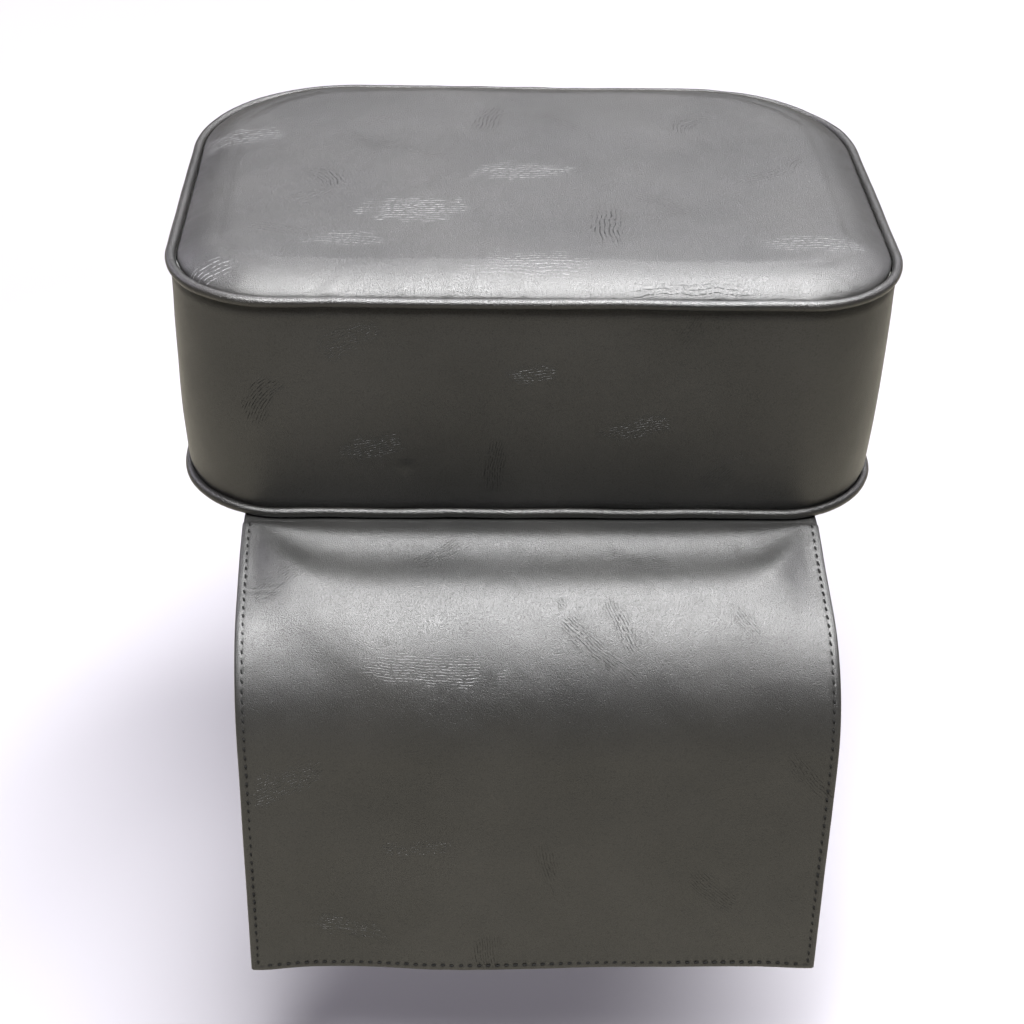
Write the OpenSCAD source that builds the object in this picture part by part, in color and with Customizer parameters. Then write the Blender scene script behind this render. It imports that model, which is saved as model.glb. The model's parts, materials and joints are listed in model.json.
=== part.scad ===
// Booster cushion for a salon or barber chair.
// A boxed foam cushion in black leatherette: crowned top panel, side band, piping round the top and
// bottom seams, a zipped rear band, and a hemmed apron that is sewn into the bottom front seam and
// hangs over the front edge of the chair's seat.
// Millimetres. Origin at the centre of the resting face, +X to the right of someone facing the
// cushion, +Y to the rear and +Z up.

/* [Cushion] */
// Width over the side band
cushion_w = 394; // [360:2:430]
// Depth over the side band
cushion_d = 274; // [250:2:320]
// Height of the top seam above the resting face
top_seam_z = 139; // [110:1:160]
// Plan radius of the two front corners
front_corner_r = 56; // [40:1:70]
// Plan radius of the two rear corners
rear_corner_r = 90; // [60:1:95]
// Rise of the crowned top panel above its seam
crown_h = 11; // [9:1:14]

/* [Cover] */
// Thickness of the leatherette
skin = 1.2; // [1:0.1:1.3]
// Outside diameter of the piping
piping_d = 6; // [5.8:0.2:6.6]
// How far the seam allowances reach in from the band's face
allowance = 10; // [9:0.5:10]

/* [Filling] */
// Thickness of the polyester wadding
wadding_t = 10; // [10:0.5:14]
// Thickness of the soft foam layer that lies on the firm block
topper_h = 35; // [20:5:50]

/* [Apron] */
// Width of the apron
apron_w = 322; // [280:2:330]
// Slope of its upper run below the horizontal, in degrees
apron_slope = 27; // [15:1:35]
// Length of the sloping run
slope_len = 76; // [60:2:110]
// Radius of its bend over the front edge of a seat
bend_r = 74; // [50:2:80]
// Direction of the hanging run below the horizontal, in degrees
drop_angle = 80; // [75:1:90]
// Length of the hanging run
drop_len = 135; // [115:5:220]
// Width of the turned hems
hem_w = 12; // [8:1:16]
// Distance of the hem stitching from the edge
hem_stitch_inset = 3.6; // [3:0.2:6]

/* [Zip] */
// Length of the pull tab
pull_len = 24; // [18:1:30]
// Distance between neighbouring coil turns
coil_pitch = 2; // [1.8:0.1:3]

/* [Hidden] */

$fn = 64;
gap = 0.1;          // air between two pieces that lie together
weld = 0.1;         // how far two shapes of one solid overlap
thread_gap = 0.05;  // air between a thread and the sheet it lies on
half_w = cushion_w / 2;
half_d = cushion_d / 2;
far = 400;          // longer than anything that is cut

// Piping, and the plies of the two piped seams. Each seam is a stack of allowances.
piping_r = piping_d / 2;
cord_r = piping_r - 1;              // room inside the piping cover
ply_end = 1.4;                      // how near the cord's axis the piping cover's plies end
base_stack = 0.8;                   // what the bottom seam's plies add to the height of its cord
cord_clearance = 0.1;
piping_ply = 1;                     // the piping cover's two plies, pressed together
panel_inset = piping_r + 0.2;       // where a panel starts, just inside the piping
bottom_seam_z = piping_r + skin + base_stack;

top_piping_ply_z = top_seam_z - piping_r + gap;
panel_ply_z = top_piping_ply_z + piping_ply + gap;

bottom_piping_ply_z = bottom_seam_z + piping_r - gap - piping_ply;
band_top_z = top_seam_z - piping_r - gap;
band_bottom_z = bottom_seam_z + piping_r + gap;
band_h = band_top_z - band_bottom_z;
apron_ply_z = bottom_piping_ply_z - gap - skin;
bottom_ply_z = apron_ply_z - gap - skin;
bottom_inset = panel_inset + skin + 0.2;

thread_w = 0.4;
thread_t = 0.3;
seam_inset = 6;                     // where the hidden lockstitch runs in the allowances
seam_half = skin + 0.8;             // half the room a seam's two allowances and thread take
seam_room = 0.3;                    // air beyond the seam allowances, in the wadding's grooves

// Filling
cover_gap = 1.6;                    // between the band's inner face and the wadding
wadding_inset = skin + cover_gap;
foam_inset = wadding_inset + wadding_t + seam_room;
dome_shrink = skin + 0.2;           // the wadding follows the top panel at this distance
foam_top_z = top_seam_z + crown_h - dome_shrink - wadding_t - gap;
foam_bottom_z = skin + 0.2;
dome_roll = 27;                     // the width of the roll along the top panel's edge
crown_share = 0.9;                  // how much of the crown is reached at the end of the roll
crown_inset = 80;                   // the flat middle of the top panel starts here
groove_half = 0.6;                  // how far the wadding's groove clears the seam's plies
rim_room = 0.7;                     // and how far its lower rim clears the band's lower allowance
zip_room = 2;                       // and how far its opening clears the tapes

// Rear band and zip. The zip faces +Y and runs along X.
zip_z = (band_top_z + band_bottom_z) / 2;
seam_x = half_w - rear_corner_r - 3;    // the two upright seams of the rear band
fold_half = 5;                      // half the opening between the two folded edges
fold_depth = 12;
topstitch_gap = 5;                  // from the folded edge to the topstitching
tape_t = 0.5;
tape_w = 14;
tape_y = half_d - 2 * skin - gap - gap - tape_t;
tape_half_len = seam_x - skin - seam_room;
coil_r = 1.1;                       // half the room the coil takes, from the tape outwards
coil_turn_r = 0.84;
coil_len = 2.4;
coil_slit = 0.6;                    // half the slit between the two rows of coil
coil_y = tape_y + tape_t + thread_gap + coil_r;
coil_half_len = seam_x - 8;
stop_len = 4;
stop_gap = 1;                       // from the coil's end to a stop, and from a stop to the folded edges

// Slider and pull
slider_len = 11;
slider_play = 0.3;                  // air between the slider and the coil
slider_x = coil_half_len - slider_len / 2 + slider_play;    // where the slider stands when the zip is shut
slider_half = 4.6;
slider_wall = 1.2;
slider_top_y = coil_y + coil_r + slider_play;
slider_bottom_y = tape_y - 0.4;
web_t = 0.8;                        // the divider between the two rows of coil
web_len = 3;
rail_t = 1;                         // the turned-in rails at the plate's long edges
pin_r = 0.7;
pin_y = slider_top_y + slider_wall + 1.6;
pin_half = 3;
post_t = 1;
post_half = 1.4;
post_over = 0.3;                    // how far the posts stand above the pin
pull_t = 1.3;
pull_w = 5;
eye_r = 1.3;
eye_bore_r = pin_r + 0.05;
eye_w = 3.6;
neck_len = 6;                       // the tab's narrow neck
hole_r = 1.1;                       // the small hole near the tab's end
hole_offset = 1;

// Apron. Its middle surface starts at the hinge line under the front piping.
root_reach = 1.6;                   // from the piping's face to the hinge line
root_drop = 0.2;                    // air between the piping and the sheet under it
root_y = -half_d - piping_r - root_reach;
root_z = bottom_seam_z - piping_r - root_drop - skin / 2;
root_room = 20;                     // taller than the root
root_slit = 1;                      // from the hinge line to either sheet
bend_angle = drop_angle - apron_slope;
bend_slit = 1;                      // from the bend's hinge line to either sheet, along the bend
bend_slit_angle = bend_slit / bend_r * 180 / PI;
hem_start = 4;                      // the hems stop short of the root

// ---------------------------------------------------------------- shapes that repeat

// The cushion's plan outline, moved in by inset.
module outline(inset = 0) {
    x = half_w - inset;
    y = half_d - inset;
    rf = front_corner_r - inset;
    rr = rear_corner_r - inset;
    polygon([
        [-x + rf, -y], [x - rf, -y], [x, -y + rf], [x, y - rr],
        [x - rr, y], [-x + rr, y], [-x, y - rr], [-x, -y + rf]
    ]);
    for (side = [-1, 1]) {
        translate([side * (x - rf), -y + rf]) circle(rf);
        translate([side * (x - rr), y - rr]) circle(rr);
    }
}

// A flat layer with the cushion's outline.
module slab(inset, z, h) {
    translate([0, 0, z]) linear_extrude(h) outline(inset);
}

// A flat ring between two insets.
module ring(outer, inner, z, h) {
    translate([0, 0, z]) linear_extrude(h) difference() {
        outline(outer);
        outline(inner);
    }
}

// Sweeps a 2D profile round the outline: its x is the distance out from the band's face, its y is z.
module around() {
    side_len = cushion_d - front_corner_r - rear_corner_r;
    for (side = [0, 1]) mirror([side, 0, 0]) {
        translate([half_w - front_corner_r, -half_d + front_corner_r, 0]) rotate(-90)
            rotate_extrude(angle = 90) translate([front_corner_r, 0]) children();
        translate([half_w - rear_corner_r, half_d - rear_corner_r, 0])
            rotate_extrude(angle = 90) translate([rear_corner_r, 0]) children();
        translate([half_w, half_d - rear_corner_r, 0]) rotate([90, 0, 0])
            linear_extrude(side_len) children();
    }
    translate([half_w - front_corner_r, -half_d, 0]) rotate([90, 0, -90])
        linear_extrude(cushion_w - 2 * front_corner_r) children();
    translate([-half_w + rear_corner_r, half_d, 0]) rotate([90, 0, 90])
        linear_extrude(cushion_w - 2 * rear_corner_r) children();
}

// The crowned solid under the top panel's skin, shrunk by a distance, down to floor_z.
module dome(shrink, floor_z) {
    module layer(inset, z) slab(inset + shrink, z - 0.01, 0.01, $fn = 32);
    roll_h = crown_h * crown_share;
    hull() {
        layer(panel_inset, floor_z + 0.01);
        for (a = [0:15:90])
            layer(panel_inset + dome_roll * (1 - cos(a)), top_seam_z + roll_h * sin(a) - shrink);
        layer(crown_inset, top_seam_z + crown_h - shrink);
    }
}

// ---------------------------------------------------------------- cover

module top_panel() color("#2b2b2d") {
    difference() {
        dome(0, panel_ply_z);
        dome(skin, panel_ply_z - 1);
    }
    ring(panel_inset, allowance, panel_ply_z, skin);
}

// The front band runs round the front, the sides and the rear corners to the two upright seams.
module front_band() color("#28282a") {
    difference() {
        union() {
            ring(0, skin, band_bottom_z, band_h);
            ring(0, allowance, band_top_z - skin, skin);
            ring(0, allowance, band_bottom_z, skin);
        }
        translate([-seam_x - gap, 0, 0]) cube([2 * (seam_x + gap), far, far]);
    }
    for (side = [0, 1]) mirror([side, 0, 0])
        translate([seam_x + gap, half_d - allowance, band_bottom_z])
            cube([skin, allowance, band_h]);
}

// One half of the rear band, from z0 to z1, with its folded edge at fold_z.
module rear_band(z0, z1, fold_z, fold_side) {
    ply_z = fold_side > 0 ? fold_z : fold_z - fold_depth;
    web_z = fold_side > 0 ? fold_z : fold_z - skin;
    edge_z = fold_side > 0 ? z1 - skin : z0;
    inner_y = half_d - 2 * skin - gap;
    translate([-seam_x, half_d - skin, z0]) cube([2 * seam_x, skin, z1 - z0]);
    translate([-seam_x, inner_y, ply_z]) cube([2 * seam_x, skin, fold_depth]);
    translate([-seam_x, inner_y, web_z]) cube([2 * seam_x, half_d - inner_y, skin]);
    translate([-seam_x, half_d - allowance, edge_z]) cube([2 * seam_x, allowance, skin]);
    for (side = [0, 1]) mirror([side, 0, 0])
        translate([seam_x - skin, half_d - allowance, z0]) cube([skin, allowance, z1 - z0]);
}

module rear_band_upper() color("#28282a")
    rear_band(zip_z + fold_half, band_top_z, zip_z + fold_half, 1);

module rear_band_lower() color("#28282a")
    rear_band(band_bottom_z, zip_z - fold_half, zip_z - fold_half, -1);

module bottom_panel() color("#242426") {
    slab(bottom_inset, 0, skin);
    ring(bottom_inset, bottom_inset + skin, 0, bottom_ply_z + skin);
    ring(bottom_inset, allowance, bottom_ply_z, skin);
}

// The piping cover's section: a tube on the band's face, and its two plies in the seam.
module piping_section(z, ply_z) {
    difference() {
        union() {
            translate([0, z]) circle(piping_r);
            translate([-allowance, ply_z]) square([allowance - ply_end, piping_ply]);
        }
        translate([0, z]) circle(cord_r);
    }
}

module top_piping_cover() color("#202022") around() piping_section(top_seam_z, top_piping_ply_z);

module bottom_piping_cover() color("#202022")
    around() piping_section(bottom_seam_z, bottom_piping_ply_z);

module piping_cord(z) color("#d8d4c8")
    around() translate([0, z]) circle(cord_r - cord_clearance);

// The room that the upright seams at the two ends of the rear band take inside the cover.
module upright_seams()
    for (side = [0, 1]) mirror([side, 0, 0])
        translate([seam_x - seam_half, half_d - allowance - seam_room, 0])
            cube([2 * seam_half, allowance, top_seam_z]);

// A hidden lockstitch: its needle thread and its bobbin thread, on the two faces of a seam's stack.
module seam_thread(low_z, high_z) color("#141414") difference() {
    union() {
        ring(seam_inset, seam_inset + thread_w, low_z - thread_gap - thread_t, thread_t);
        ring(seam_inset, seam_inset + thread_w, high_z + thread_gap, thread_t);
    }
    upright_seams();
}

// The upright seams at the two ends of the rear band have the same lockstitch.
module band_seam_thread() color("#141414")
    for (end = [0, 1], ply = [-1, 1]) mirror([end, 0, 0])
        translate([
            seam_x + gap / 2 + ply * (skin + gap / 2 + thread_gap + thread_t / 2) - thread_t / 2,
            half_d - seam_inset,
            band_bottom_z + 2 * skin
        ]) cube([thread_t, thread_w, band_h - 4 * skin]);

// ---------------------------------------------------------------- zip

module zip_tape(side) color("#1b1b1d")
    translate([-tape_half_len, tape_y, side > 0 ? zip_z + coil_slit : zip_z - coil_slit - tape_w])
        cube([2 * tape_half_len, tape_t, tape_w]);

// One row of coil: each turn is a short rod across the tape's edge, and a cord runs through them all.
module zip_coil(side) color("#101011") {
    turns = floor((coil_half_len - coil_turn_r) / coil_pitch);
    for (i = [-turns:turns])
        translate([i * coil_pitch, coil_y, side > 0 ? zip_z + coil_slit : zip_z - coil_slit - coil_len])
            cylinder(r = coil_turn_r, h = coil_len, $fn = 24);
    translate([-turns * coil_pitch, coil_y, zip_z + side * (coil_slit + coil_len - coil_turn_r)])
        rotate([0, 90, 0]) cylinder(r = coil_turn_r / 2, h = 2 * turns * coil_pitch, $fn = 24);
}

module zip_stops() color("#8d8f92")
    for (end = [-1, 1])
        translate([
            end * (coil_half_len + stop_gap + stop_len / 2) - stop_len / 2,
            tape_y + tape_t + thread_gap,
            zip_z - fold_half + stop_gap
        ]) cube([stop_len, 2 * coil_r, 2 * fold_half - 2 * stop_gap]);

// The two topstitched rows beside the zip, on the band's outer face.
module zip_thread() color("#141414")
    for (side = [-1, 1])
        translate([
            -tape_half_len,
            half_d + thread_gap,
            zip_z + side * (fold_half + topstitch_gap) - thread_w / 2
        ]) cube([2 * tape_half_len, thread_t, thread_w]);

// The slider holds both rows of coil between two plates that a thin web joins.
module zip_slider() color("#8d8f92") translate([slider_x, 0, zip_z]) {
    plate_x = -slider_len / 2;
    translate([plate_x, slider_top_y, -slider_half])
        cube([slider_len, slider_wall, 2 * slider_half]);
    translate([plate_x, slider_bottom_y - slider_wall, -slider_half])
        cube([slider_len, slider_wall, 2 * slider_half]);
    translate([slider_len / 2 - web_len, slider_bottom_y - weld, -web_t / 2])
        cube([web_len, slider_top_y - slider_bottom_y + 2 * weld, web_t]);
    rail_y = tape_y + tape_t + slider_play;
    for (side = [0, 1]) mirror([0, 0, side])
        translate([plate_x, rail_y, slider_half - rail_t])
            cube([slider_len, slider_top_y - rail_y + weld, rail_t]);
    translate([0, pin_y, -pin_half]) cylinder(r = pin_r, h = 2 * pin_half);
    post_y = slider_top_y + slider_wall - weld;
    for (side = [0, 1]) mirror([0, 0, side])
        translate([-post_half, post_y, pin_half - post_t])
            cube([2 * post_half, pin_y + pin_r + post_over - post_y, post_t]);
}

// The pull tab lies along -X at rest, with its eye round the slider's pin.
module zip_pull() color("#9a9c9f") translate([slider_x, pin_y, zip_z]) difference() {
    tab_x = -pull_len + pull_w / 2;     // the centre of the tab's round end
    union() {
        translate([0, 0, -eye_w / 2]) cylinder(r = eye_r, h = eye_w);
        translate([-neck_len, -pull_t / 2, -eye_w / 2]) cube([neck_len, pull_t, eye_w]);
        translate([tab_x, -pull_t / 2, -pull_w / 2])
            cube([-neck_len + hole_offset - tab_x, pull_t, pull_w]);
        translate([tab_x, pull_t / 2, 0]) rotate([90, 0, 0]) cylinder(d = pull_w, h = pull_t);
    }
    cylinder(r = eye_bore_r, h = far, center = true);
    translate([tab_x + hole_offset, 0, 0]) rotate([90, 0, 0])
        cylinder(r = hole_r, h = far, center = true);
}

// ---------------------------------------------------------------- filling

module foam_block() color("#e4cf8e")
    slab(foam_inset, foam_bottom_z, foam_top_z - topper_h - gap - foam_bottom_z);

module foam_topper() color("#f0e6c4") slab(foam_inset, foam_top_z - topper_h, topper_h);

// The wadding lies over the top and sides. It is grooved where the seam allowances press into it.
module wadding_wrap() color("#f4f4f0") {
    groove_bottom_z = band_top_z - skin - groove_half;
    groove_top_z = panel_ply_z + skin + groove_half;
    rim_z = band_bottom_z + skin + rim_room;
    difference() {
        union() {
            slab(wadding_inset, rim_z, top_seam_z - rim_z);
            dome(dome_shrink, top_seam_z - 1);
        }
        slab(foam_inset - 2 * gap, 0, foam_top_z + gap);
        ring(-1, allowance + seam_room, groove_bottom_z, groove_top_z - groove_bottom_z);
        upright_seams();
        translate([-seam_x, slider_bottom_y - slider_wall - slider_play, zip_z - tape_w - zip_room])
            cube([2 * seam_x, allowance, 2 * (tape_w + zip_room)]);
    }
}

// ---------------------------------------------------------------- apron

// Puts a 2D profile, drawn forwards and upwards from the apron's hinge line, across the apron.
module across(width, x = 0) {
    translate([x, root_y, root_z]) rotate([90, 0, -90])
        linear_extrude(width, center = true) children();
}

// Sections of a ply that lies from low to high above the apron's middle surface. The bend's section
// has its centre at the origin and starts straight above it, where a straight run meets it.
module bend_section(angle, low, high) {
    intersection() {
        difference() {
            circle(bend_r + high);
            circle(bend_r + low);
        }
        polygon([[0, 0], [0, far], [far * sin(angle), far * cos(angle)]]);
    }
}

// The upper run, from the apron's hinge line to the bend's.
module upper_run(low, high, from = root_slit) {
    rotate(-apron_slope) {
        translate([from, low]) square([slope_len - from, high - low]);
        translate([slope_len, -bend_r])
            bend_section(bend_angle / 2 - bend_slit_angle, low, high);
    }
}

module at_drop() {
    rotate(-apron_slope) translate([slope_len, -bend_r]) rotate(-bend_angle) children();
}

module drop_section(low, high, short = 0, from = 0) {
    at_drop() translate([from, bend_r + low]) square([drop_len - short - from, high - low]);
}

// The lower run, from the bend's hinge line to the hem.
module drop_run(low, high, short = 0) {
    at_drop() bend_section(-(bend_angle / 2 - bend_slit_angle), low, high);
    drop_section(low, high, short);
}

// The part of the apron that is caught in the seam, wraps under the piping and ends at the hinge line.
module apron_root() color("#242426") intersection() {
    union() {
        ring(panel_inset + gap, allowance, apron_ply_z, skin);
        ring(panel_inset + gap, panel_inset + gap + skin, root_z - skin / 2,
            apron_ply_z + skin - root_z + skin / 2);
        difference() {
            translate([-far / 2, root_y + root_slit, root_z - skin / 2]) cube([far, half_d, skin]);
            slab(panel_inset + gap + skin, -1, root_room);
        }
    }
    translate([-apron_w / 2, -far, -1]) cube([apron_w, far - half_d + front_corner_r, root_room]);
}

// The hems are turned under, so the sheet is two plies thick along its edges.
module apron_upper() color("#2b2b2d") {
    across(apron_w - 2 * hem_w) upper_run(-skin / 2, skin / 2);
    for (side = [-1, 1]) across(hem_w, side * (apron_w - hem_w) / 2) {
        upper_run(-skin / 2, skin / 2);
        upper_run(-1.5 * skin, 0, hem_start);
    }
}

module apron_drop() color("#2b2b2d") {
    across(apron_w - 2 * hem_w) {
        drop_run(-skin / 2, skin / 2);
        drop_section(-1.5 * skin, 0, 0, drop_len - hem_w);
    }
    for (side = [-1, 1]) across(hem_w, side * (apron_w - hem_w) / 2) drop_run(-1.5 * skin, skin / 2);
}

module hem_threads() {
    for (side = [-1, 1]) across(thread_w, side * (apron_w / 2 - hem_stitch_inset)) children();
}

module apron_thread_upper() color("#0c0c0c")
    hem_threads() upper_run(skin / 2 + thread_gap, skin / 2 + thread_gap + thread_t, hem_start);

module apron_thread_drop() color("#0c0c0c") {
    low = skin / 2 + thread_gap;
    high = low + thread_t;
    end = hem_stitch_inset - thread_w / 2;
    hem_threads() drop_run(low, high, end);
    across(apron_w - 2 * hem_stitch_inset) drop_section(low, high, end, drop_len - end - thread_w);
}

// ---------------------------------------------------------------- nodes

top_panel();
front_band();
rear_band_upper();
rear_band_lower();
bottom_panel();
top_piping_cover();
piping_cord(top_seam_z);  // top_piping_cord
bottom_piping_cover();
piping_cord(bottom_seam_z);  // bottom_piping_cord
seam_thread(band_top_z - skin, panel_ply_z + skin);  // top_seam_thread
seam_thread(bottom_ply_z, band_bottom_z + skin);  // bottom_seam_thread
band_seam_thread();
zip_tape(1);  // zip_tape_upper
zip_tape(-1);  // zip_tape_lower
zip_coil(1);  // zip_coil_upper
zip_coil(-1);  // zip_coil_lower
zip_stops();
zip_thread();
zip_slider();
zip_pull();
foam_block();
foam_topper();
wadding_wrap();
apron_root();
apron_upper();
apron_drop();
apron_thread_upper();
apron_thread_drop();
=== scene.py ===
"""The looks of the booster cushion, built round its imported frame.

The cover is black leatherette: a crowned top, a side band, a base, piping round both seams, a zipped rear
band and an apron. The top and the front band are grids that Blender's cloth blows out. Creases, puckers,
hems and stitches are added as geometry afterwards. Lengths are in metres unless a name says mm.
"""
import json
import math

import bmesh
import bpy
import numpy as np
from mathutils import Matrix, Vector


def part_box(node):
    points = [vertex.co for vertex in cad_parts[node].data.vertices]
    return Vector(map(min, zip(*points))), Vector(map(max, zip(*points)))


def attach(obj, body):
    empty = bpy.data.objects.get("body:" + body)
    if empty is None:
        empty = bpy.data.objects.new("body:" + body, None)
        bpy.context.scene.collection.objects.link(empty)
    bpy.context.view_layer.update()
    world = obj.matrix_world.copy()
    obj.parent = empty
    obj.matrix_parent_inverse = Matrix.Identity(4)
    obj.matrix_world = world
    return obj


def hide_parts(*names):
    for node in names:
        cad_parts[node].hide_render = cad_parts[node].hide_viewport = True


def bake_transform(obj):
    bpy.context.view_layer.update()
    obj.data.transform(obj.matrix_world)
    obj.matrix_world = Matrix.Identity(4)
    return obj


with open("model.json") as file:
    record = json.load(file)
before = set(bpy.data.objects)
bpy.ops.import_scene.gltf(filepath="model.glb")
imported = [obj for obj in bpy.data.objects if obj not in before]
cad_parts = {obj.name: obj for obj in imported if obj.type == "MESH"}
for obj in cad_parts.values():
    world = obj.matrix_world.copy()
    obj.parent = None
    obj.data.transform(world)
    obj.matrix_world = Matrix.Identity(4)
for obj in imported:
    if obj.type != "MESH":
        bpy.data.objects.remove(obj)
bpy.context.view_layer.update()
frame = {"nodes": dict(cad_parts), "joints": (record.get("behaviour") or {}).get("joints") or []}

MM = 0.001

# ------------------------------------------------------------------ sizes, from the frame

band_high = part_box("front_band")[1]
piping_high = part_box("top_piping_cover")[1]
base_piping_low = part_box("bottom_piping_cover")[0]
panel_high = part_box("top_panel")[1]
base_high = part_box("bottom_panel")[1]
apron_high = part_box("apron_upper")[1]
rear_upper_low, rear_upper_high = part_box("rear_band_upper")
rear_lower_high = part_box("rear_band_lower")[1]
joint = {j["name"]: j for j in frame["joints"]}

HALF_W = band_high.x
HALF_D = band_high.y
SKIN = 1.2 * MM
PIPE_R = piping_high.x - HALF_W
TOP_SEAM = piping_high.z - PIPE_R
BASE_SEAM = base_piping_low.z + PIPE_R
PANEL_INSET = HALF_W - panel_high.x
BASE_INSET = HALF_W - base_high.x
CROWN = panel_high.z - TOP_SEAM
FRONT_R = 56 * MM       # plan radii of the band's corners
REAR_R = 90 * MM
SEAM_X = rear_upper_high.x    # the two upright seams of the rear band
ZIP_Z = (rear_upper_low.z + rear_lower_high.z) / 2
ZIP_HALF = (rear_upper_low.z - rear_lower_high.z) / 2

GRID = 2.4 * MM         # spacing of the sheets' points before they are divided once

# ------------------------------------------------------------------ plan of the cushion


def corner(cx, cy, radius, start_angle):
    return {"length": radius * math.pi / 2, "centre": (cx, cy), "radius": radius, "angle": start_angle}


def straight(x, y, heading, length):
    return {"length": length, "from": (x, y), "angle": heading}


FRONT_HALF = HALF_W - FRONT_R
REAR_HALF = HALF_W - REAR_R
SIDE = 2 * HALF_D - FRONT_R - REAR_R
# The band's face in plan, anticlockwise from the middle of the front.
STRETCHES = [
    straight(0, -HALF_D, 0, FRONT_HALF),
    corner(FRONT_HALF, FRONT_R - HALF_D, FRONT_R, -90),
    straight(HALF_W, FRONT_R - HALF_D, 90, SIDE),
    corner(REAR_HALF, HALF_D - REAR_R, REAR_R, 0),
    straight(REAR_HALF, HALF_D, 180, 2 * REAR_HALF),
    corner(-REAR_HALF, HALF_D - REAR_R, REAR_R, 90),
    straight(-HALF_W, HALF_D - REAR_R, 270, SIDE),
    corner(-FRONT_HALF, FRONT_R - HALF_D, FRONT_R, 180),
    straight(-FRONT_HALF, -HALF_D, 0, FRONT_HALF),
]
LOOP = sum(s["length"] for s in STRETCHES)
STARTS = np.cumsum([0] + [s["length"] for s in STRETCHES])


def plan(s):
    """Points on the band's face and their outward normals, at distances s from the middle of the front."""
    s = np.mod(np.asarray(s, float), LOOP)
    xy = np.zeros(s.shape + (2,))
    normal = np.zeros_like(xy)
    for stretch, start in zip(STRETCHES, STARTS):
        on = (s >= start) & (s <= start + stretch["length"])
        along = s[on] - start
        angle = math.radians(stretch["angle"])
        if "radius" in stretch:
            turn = angle + along / stretch["radius"]
            normal[on] = np.stack([np.cos(turn), np.sin(turn)], -1)
            xy[on] = np.array(stretch["centre"]) + stretch["radius"] * normal[on]
        else:
            heading = np.array([math.cos(angle), math.sin(angle)])
            normal[on] = (heading[1], -heading[0])
            xy[on] = np.array(stretch["from"]) + along[:, None] * heading
    return xy, normal


def inset_of(x, y):
    """How far inside the band's face a point in plan lies."""
    radius = np.where(y < 0, FRONT_R, REAR_R)
    qx = np.abs(x) - (HALF_W - radius)
    qy = np.abs(y) - (HALF_D - radius)
    outside = np.hypot(np.maximum(qx, 0), np.maximum(qy, 0))
    return radius - outside - np.minimum(np.maximum(qx, qy), 0)


# ------------------------------------------------------------------ small maths


def smooth(t):
    """0 below 0, 1 above 1, and a smooth step between."""
    t = np.clip(t, 0, 1)
    return t * t * (3 - 2 * t)


def waves(points, size, seed, count=14):
    """Smooth seeded noise of about -1 to 1, with features of a given size, at points of any dimension."""
    rng = np.random.default_rng(seed)
    points = np.asarray(points, float)
    total = np.zeros(points.shape[:-1])
    for _ in range(count):
        heading = rng.normal(size=points.shape[-1])
        heading /= np.linalg.norm(heading)
        pitch = size * rng.uniform(0.7, 1.6)
        total += np.sin(points @ heading * 2 * math.pi / pitch + rng.uniform(0, 2 * math.pi))
    return total / math.sqrt(count)


# ------------------------------------------------------------------ meshes


def coords(obj):
    co = np.zeros(len(obj.data.vertices) * 3)
    obj.data.vertices.foreach_get("co", co)
    return co.reshape(-1, 3)


def set_coords(obj, co):
    obj.data.vertices.foreach_set("co", co.astype(np.float32).ravel())
    obj.data.update()


def normals(obj):
    n = np.zeros(len(obj.data.vertices) * 3)
    obj.data.vertices.foreach_get("normal", n)
    return n.reshape(-1, 3)


def new_mesh(name, points, faces):
    mesh = bpy.data.meshes.new(name)
    mesh.from_pydata(np.asarray(points).tolist(), [], faces)
    mesh.validate()
    mesh.update()
    mesh.shade_smooth()
    obj = bpy.data.objects.new(name, mesh)
    bpy.context.scene.collection.objects.link(obj)
    return obj


def grid_faces(rows, cols, closed_cols=False, closed_rows=False):
    """Quads of a grid of points stored row by row."""
    faces = []
    for i in range(rows if closed_rows else rows - 1):
        for j in range(cols if closed_cols else cols - 1):
            a, b = i * cols + j, i * cols + (j + 1) % cols
            up = ((i + 1) % rows) * cols
            faces.append((a, b, up + (j + 1) % cols, up + j))
    return faces


def add_values(obj, **values):
    """Stores one number per point, for the materials to read."""
    for name, value in values.items():
        attribute = obj.data.attributes.new(name, "FLOAT", "POINT")
        attribute.data.foreach_set("value", np.asarray(value, np.float32))


def values_of(obj, name):
    value = np.zeros(len(obj.data.vertices), np.float32)
    obj.data.attributes[name].data.foreach_get("value", value)
    return value.astype(float)


def apply_modifiers(obj):
    bpy.context.view_layer.update()
    done = bpy.data.meshes.new_from_object(obj.evaluated_get(bpy.context.evaluated_depsgraph_get()))
    old, obj.data = obj.data, done
    obj.modifiers.clear()
    bpy.data.meshes.remove(old)
    obj.data.shade_smooth()
    return obj


def divide(obj):
    """One level of Catmull-Clark division, which keeps the open edges where they are."""
    sub = obj.modifiers.new("divide", "SUBSURF")
    sub.levels = sub.render_levels = 1
    return apply_modifiers(obj)


def thicken(obj, thickness=SKIN, offset=-1):
    """Gives a sheet its thickness, inwards from its modelled face."""
    solid = obj.modifiers.new("thickness", "SOLIDIFY")
    solid.thickness = thickness
    solid.offset = offset
    solid.use_even_offset = True
    solid.use_rim = True
    return apply_modifiers(obj)


def rest_coordinates(obj):
    """Keeps each point's place at rest, so that a material's grain stays on a sheet that bends."""
    attribute = obj.data.attributes.new("rest", "FLOAT_VECTOR", "POINT")
    attribute.data.foreach_set("vector", coords(obj).astype(np.float32).ravel())


CLOTH_FRAMES = 20
EVEN_ROUNDS = 40        # how often a cloth's movement is averaged with its neighbours'


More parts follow.
